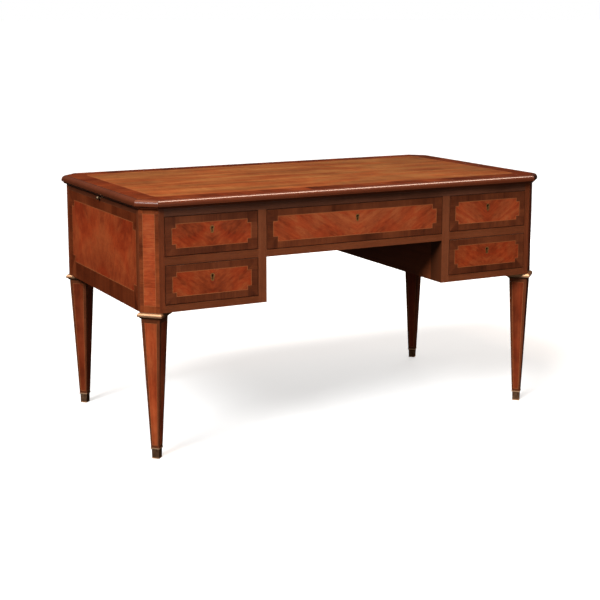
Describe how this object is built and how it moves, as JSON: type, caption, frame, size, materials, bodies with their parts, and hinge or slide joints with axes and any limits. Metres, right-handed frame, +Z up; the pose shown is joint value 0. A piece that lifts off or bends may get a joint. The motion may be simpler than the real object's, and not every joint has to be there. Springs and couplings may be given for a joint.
{
  "type": "writing table",
  "caption": "Flat-topped writing table with canted corners, drawers with keyholes, pull-out side slides, and square tapered legs with brass collars and shoes.",
  "frame": {"origin": "on the floor under the middle of the top", "axes": "+X along the length to the sitter's right, +Y from the front to the back, +Z up"},
  "size_m": [1.4, 0.76, 0.76],
  "materials": {
    "case_wood": "french polished mahogany",
    "moulding_wood": "polished dark mahogany",
    "top_veneer": "polished figured veneer",
    "inner_wood": "bare oak",
    "brass": "aged brass"
  },
  "bodies": {
    "case": {"top_panel": "top_veneer", "top_edge_moulding": "moulding_wood", "side_panel_left": "case_wood", "side_panel_right": "case_wood", "back_panel_left": "case_wood", "back_panel_right": "case_wood", "back_panel_centre": "case_wood", "knee_side_left": "case_wood", "knee_side_right": "case_wood", "front_top_rail": "case_wood", "back_top_rail": "case_wood", "drawer_rails": "case_wood", "knee_stiles": "case_wood", "leg_collars": "brass", "leg_sabots": "brass", "leg_front_left": "case_wood", "leg_back_left": "case_wood", "leg_front_right": "case_wood", "leg_back_right": "case_wood", "pedestal_runners": "inner_wood", "centre_runners": "inner_wood", "kickers": "inner_wood", "pedestal_bottoms": "inner_wood", "drawer_stops": "inner_wood"},
    "slide_left": {"slide_left_board": "inner_wood", "slide_left_edge": "case_wood", "slide_left_knob": "brass"},
    "slide_right": {"slide_right_board": "inner_wood", "slide_right_edge": "case_wood", "slide_right_knob": "brass"},
    "drawer_left_upper": {"drawer_left_upper_front": "case_wood", "drawer_left_upper_box": "inner_wood", "drawer_left_upper_bottom": "inner_wood", "drawer_left_upper_lock": "brass", "drawer_left_upper_escutcheon": "brass"},
    "drawer_left_upper_bolt": {"drawer_left_upper_lock_bolt": "brass"},
    "drawer_left_lower": {"drawer_left_lower_front": "case_wood", "drawer_left_lower_box": "inner_wood", "drawer_left_lower_bottom": "inner_wood", "drawer_left_lower_lock": "brass", "drawer_left_lower_escutcheon": "brass"},
    "drawer_left_lower_bolt": {"drawer_left_lower_lock_bolt": "brass"},
    "drawer_centre": {"drawer_centre_front": "case_wood", "drawer_centre_box": "inner_wood", "drawer_centre_bottom": "inner_wood", "drawer_centre_lock": "brass", "drawer_centre_escutcheon": "brass"},
    "drawer_centre_bolt": {"drawer_centre_lock_bolt": "brass"},
    "drawer_right_upper": {"drawer_right_upper_front": "case_wood", "drawer_right_upper_box": "inner_wood", "drawer_right_upper_bottom": "inner_wood", "drawer_right_upper_lock": "brass", "drawer_right_upper_escutcheon": "brass"},
    "drawer_right_upper_bolt": {"drawer_right_upper_lock_bolt": "brass"},
    "drawer_right_lower": {"drawer_right_lower_front": "case_wood", "drawer_right_lower_box": "inner_wood", "drawer_right_lower_bottom": "inner_wood", "drawer_right_lower_lock": "brass", "drawer_right_lower_escutcheon": "brass"},
    "drawer_right_lower_bolt": {"drawer_right_lower_lock_bolt": "brass"}
  },
  "joints": [
    {"name": "slide_left_travel", "type": "slide", "parent": "case", "child": "slide_left", "axis": [-1, 0, 0], "range_m": [0, 0.33]},
    {"name": "slide_right_travel", "type": "slide", "parent": "case", "child": "slide_right", "axis": [1, 0, 0], "range_m": [0, 0.33]},
    {"name": "drawer_left_upper_travel", "type": "slide", "parent": "case", "child": "drawer_left_upper", "axis": [0, -1, 0], "range_m": [0, 0.42]},
    {"name": "drawer_left_upper_bolt_throw", "type": "slide", "parent": "drawer_left_upper", "child": "drawer_left_upper_bolt", "axis": [0, 0, 1], "range_m": [0, 0.007]},
    {"name": "drawer_left_lower_travel", "type": "slide", "parent": "case", "child": "drawer_left_lower", "axis": [0, -1, 0], "range_m": [0, 0.42]},
    {"name": "drawer_left_lower_bolt_throw", "type": "slide", "parent": "drawer_left_lower", "child": "drawer_left_lower_bolt", "axis": [0, 0, 1], "range_m": [0, 0.007]},
    {"name": "drawer_centre_travel", "type": "slide", "parent": "case", "child": "drawer_centre", "axis": [0, -1, 0], "range_m": [0, 0.42]},
    {"name": "drawer_centre_bolt_throw", "type": "slide", "parent": "drawer_centre", "child": "drawer_centre_bolt", "axis": [0, 0, 1], "range_m": [0, 0.007]},
    {"name": "drawer_right_upper_travel", "type": "slide", "parent": "case", "child": "drawer_right_upper", "axis": [0, -1, 0], "range_m": [0, 0.42]},
    {"name": "drawer_right_upper_bolt_throw", "type": "slide", "parent": "drawer_right_upper", "child": "drawer_right_upper_bolt", "axis": [0, 0, 1], "range_m": [0, 0.007]},
    {"name": "drawer_right_lower_travel", "type": "slide", "parent": "case", "child": "drawer_right_lower", "axis": [0, -1, 0], "range_m": [0, 0.42]},
    {"name": "drawer_right_lower_bolt_throw", "type": "slide", "parent": "drawer_right_lower", "child": "drawer_right_lower_bolt", "axis": [0, 0, 1], "range_m": [0, 0.007]}
  ]
}
